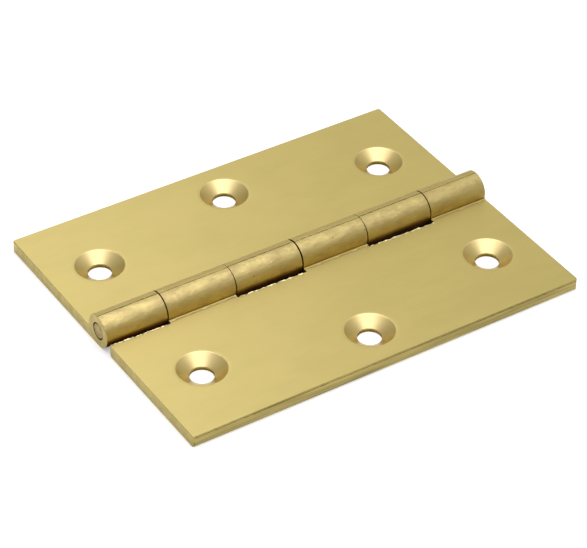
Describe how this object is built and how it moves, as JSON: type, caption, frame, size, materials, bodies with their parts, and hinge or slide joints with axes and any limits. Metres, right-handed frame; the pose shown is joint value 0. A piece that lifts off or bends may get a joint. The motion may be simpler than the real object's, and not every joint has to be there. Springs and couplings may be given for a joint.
{
  "type": "butt hinge",
  "caption": "Plain solid drawn butt hinge: two rectangular leaves with countersunk screw holes, joined by interlocking knuckles on a round pin.",
  "frame": {"origin": "middle of the open hinge on the plane of the leaves' backs, straight below the barrel's axis", "axes": "+X along the barrel, +Y towards the rear leaf's outer edge, +Z out of the countersunk faces"},
  "size_m": [0.0762, 0.0592, 0.006],
  "materials": {
    "leaf_brass": "satin, finely lined, with bright countersinks",
    "pin_brass": "dull, cut and filed end"
  },
  "bodies": {
    "rear": {"rear_leaf": "leaf_brass", "hinge_pin": "pin_brass"},
    "front": {"front_leaf": "leaf_brass"}
  },
  "joints": [
    {"name": "leaf_swing", "type": "hinge", "parent": "rear", "child": "front", "pos_m": [0, 0, 0.003], "axis": [-1, 0, 0], "range_deg": [-95, 180]}
  ]
}
